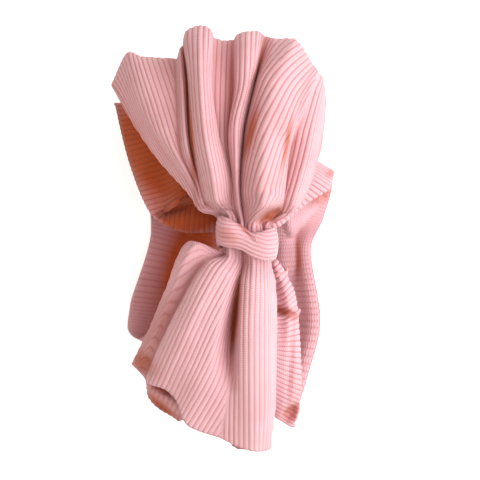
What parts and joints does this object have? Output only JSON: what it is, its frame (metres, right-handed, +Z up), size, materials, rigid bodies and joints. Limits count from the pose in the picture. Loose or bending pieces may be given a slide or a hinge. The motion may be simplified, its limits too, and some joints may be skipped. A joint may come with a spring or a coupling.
{
  "type": "ribbed knit headband with a bow",
  "caption": "Baby's soft headband of ribbed knit, a wide flattened ring with a large folded bow knotted on it, lying on its back.",
  "frame": {"origin": "on the surface that the headband lies on, straight under the knot", "axes": "+X is the way a head goes through the band, +Y runs along the bow from its tail to its loop, +Z is up from the surface to the bow"},
  "size_m": [0.1295, 0.235, 0.0959],
  "materials": {
    "ribbed_knit": "matt dusty pink rib knit"
  },
  "bodies": {
    "root": {"head_band": "ribbed_knit", "bow_loop": "ribbed_knit", "bow_tail": "ribbed_knit", "knot_wrap": "ribbed_knit"}
  },
  "joints": []
}
